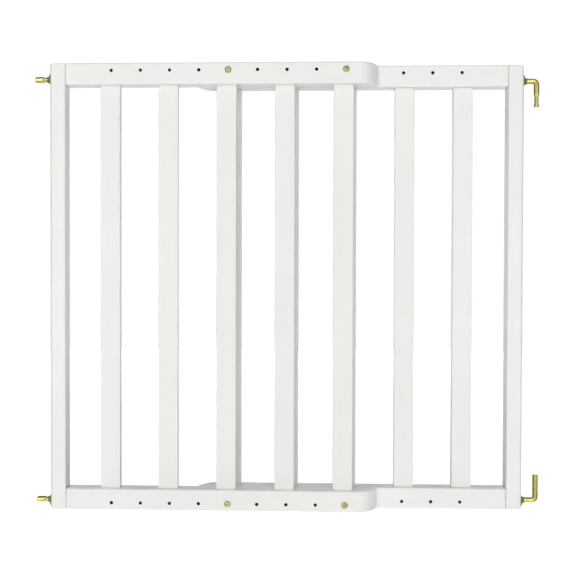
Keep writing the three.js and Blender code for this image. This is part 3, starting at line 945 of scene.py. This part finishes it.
def make_washer(place_name):
    """A flat washer with eased rims."""
    node = f"clamp_washer_{place_name}"
    matrix, radius, thickness = across_depth(node)
    bore = SCREW_RADIUS + BORE_PLAY
    edge = WASHER_EDGE
    far = thickness - edge
    profile = [(bore, edge), (bore + edge, 0), (radius - edge, 0), (radius, edge)]
    profile += [(radius, far), (radius - edge, thickness), (bore + edge, thickness), (bore, far)]
    washer = turned(f"{node}_pressed", profile, matrix, WASHER_SIDES, closed=True)
    finish_brass(washer, node, f"nut_{place_name}")


def make_cap_nut(place_name):
    """A cap nut: a chamfered hexagon with a dome, bored from its flat side."""
    node = f"cap_nut_{place_name}"
    matrix, _, height = across_depth(node)
    corner_radius = size_of(node).z / 2
    hexagon = turned("hexagon", [(corner_radius, 0), (corner_radius, NUT_HEIGHT)],
                     matrix @ Matrix.Rotation(math.pi / 6, 4, "Z"), 6)
    inner = corner_radius - NUT_CHAMFER
    far = NUT_HEIGHT - NUT_CHAMFER / 2
    cone = [(inner, -CLEAR / 2), (corner_radius + CLEAR, NUT_CHAMFER / 2 + CLEAR / 2)]
    cone += [(corner_radius + CLEAR, far - CLEAR / 2), (inner, NUT_HEIGHT + CLEAR / 2)]
    combine(hexagon, turned("chamfer", cone, matrix, NUT_CHAMFER_SIDES), "INTERSECT")
    dome = [(NUT_DOME_RADIUS, NUT_HEIGHT / 2)]
    for step in range(DOME_STEPS):
        angle = math.pi / 2 * step / DOME_STEPS
        rise = (height - NUT_HEIGHT) * math.sin(angle)
        dome.append((NUT_DOME_RADIUS * math.cos(angle), NUT_HEIGHT + rise))
    dome.append((SHARP, height))
    combine(hexagon, turned("dome", dome, matrix, NUT_DOME_SIDES), "UNION")
    bore = SCREW_RADIUS + BORE_PLAY
    countersink = [(bore + CLEAR + NUT_CHAMFER, -CLEAR), (bore, NUT_CHAMFER)]
    countersink.append((bore, height - NUT_CROWN_THICKNESS))
    combine(hexagon, turned("bore", countersink, matrix, NUT_BORE_SIDES), "DIFFERENCE")
    hexagon.name = f"{node}_domed"
    finish_brass(hexagon, node, f"nut_{place_name}")


for side in SIDES:
    for level in LEVELS:
        make_rosette(side, level)
for level in LEVELS:
    make_stud(level)
    make_hook(level)
    for column in ("left", "right"):
        make_screw(f"{level}_{column}")
        make_washer(f"{level}_{column}")
        make_cap_nut(f"{level}_{column}")


# ---------------------------------------------------------------- floor, light and camera

def make_floor():
    """A plain white floor that the gate stands on. It neither lights the gate nor stops the lamps
    below it, so that the lamps alone set the tones of the paint."""
    bm = bmesh.new()
    bmesh.ops.create_circle(bm, cap_ends=True, segments=FLOOR_SIDES, radius=FLOOR_RADIUS)
    floor = piece_from("floor", bm)
    material, tree, surface = node_material("floor")
    surface.inputs["Base Color"].default_value = grey(FLOOR_TONE)
    surface.inputs["Roughness"].default_value = FLOOR_ROUGHNESS
    surface.inputs["Emission Color"].default_value = grey(1)
    surface.inputs["Emission Strength"].default_value = FLOOR_GLOW
    floor.data.materials.append(material)
    floor.visible_diffuse = False
    floor.visible_shadow = False
    floor.visible_glossy = False


def make_world():
    """A white studio for the view past the gate. The brass reflects a brighter front and back and
    darker sides, ceiling and floor, which give its rods their dark edges."""
    world = bpy.data.worlds.new("studio")
    bpy.context.scene.world = world
    world.cycles_visibility.diffuse = False
    world.use_nodes = True
    tree = world.node_tree
    background = tree.nodes["Background"]
    coordinates = add_node(tree, "ShaderNodeTexCoord")
    parts = add_node(tree, "ShaderNodeSeparateXYZ")
    tree.links.new(coordinates.outputs["Generated"], parts.inputs["Vector"])
    depth = add_node(tree, "ShaderNodeMath", operation="ABSOLUTE")
    tree.links.new(parts.outputs["Y"], depth.inputs[0])
    reflected = ramp(tree, depth.outputs["Value"], grey(REFLECTED_SIDES), grey(REFLECTED_FRONT),
                     low=0.45, high=0.95)
    path = add_node(tree, "ShaderNodeLightPath")
    mix = add_node(tree, "ShaderNodeMix", data_type="RGBA")
    tree.links.new(path.outputs["Is Glossy Ray"], mix.inputs["Factor"])
    mix.inputs[MIX_FIRST].default_value = grey(WALL)
    tree.links.new(reflected, mix.inputs[MIX_SECOND])
    tree.links.new(mix.outputs[MIX_RESULT], background.inputs["Color"])


def grey(tone):
    return (tone, tone, tone, 1)


def area_light(name, location, target, size, power):
    """A soft rectangular lamp that doesn't show in the picture itself."""
    light = bpy.data.lights.new(name, "AREA")
    light.shape = "RECTANGLE"
    light.size, light.size_y = size
    light.energy = power
    lamp = bpy.data.objects.new(name, light)
    lamp.location = location
    lamp.rotation_mode = "QUATERNION"
    lamp.rotation_quaternion = (Vector(target) - Vector(location)).to_track_quat("-Z", "Y")
    lamp.visible_camera = False
    bpy.context.scene.collection.objects.link(lamp)


def make_camera():
    """A camera nearly square to the front, at the photograph's distance and height."""
    data = bpy.data.cameras.new("camera")
    data.lens = CAMERA_LENS
    data.sensor_width = CAMERA_SENSOR
    data.clip_start, data.clip_end = CAMERA_CLIP
    camera = bpy.data.objects.new("camera", data)
    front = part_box("latch_post")[0].y
    camera.location = (CAMERA_X, front - CAMERA_DISTANCE, CAMERA_Z)
    level = Matrix.Rotation(math.pi / 2, 4, "X")
    turn = Matrix.Rotation(CAMERA_YAW, 4, "Z") @ Matrix.Rotation(CAMERA_PITCH, 4, "X")
    roll = Matrix.Rotation(CAMERA_ROLL, 4, "Z")
    camera.rotation_mode = "QUATERNION"
    camera.rotation_quaternion = (turn @ level @ roll).to_quaternion()
    bpy.context.scene.collection.objects.link(camera)
    bpy.context.scene.camera = camera


make_floor()
make_world()
for name, location, size, power in LAMPS:
    area_light(name, location, LAMPS_AIM, size, power)
make_camera()
bpy.context.scene.view_settings.view_transform = "Standard"
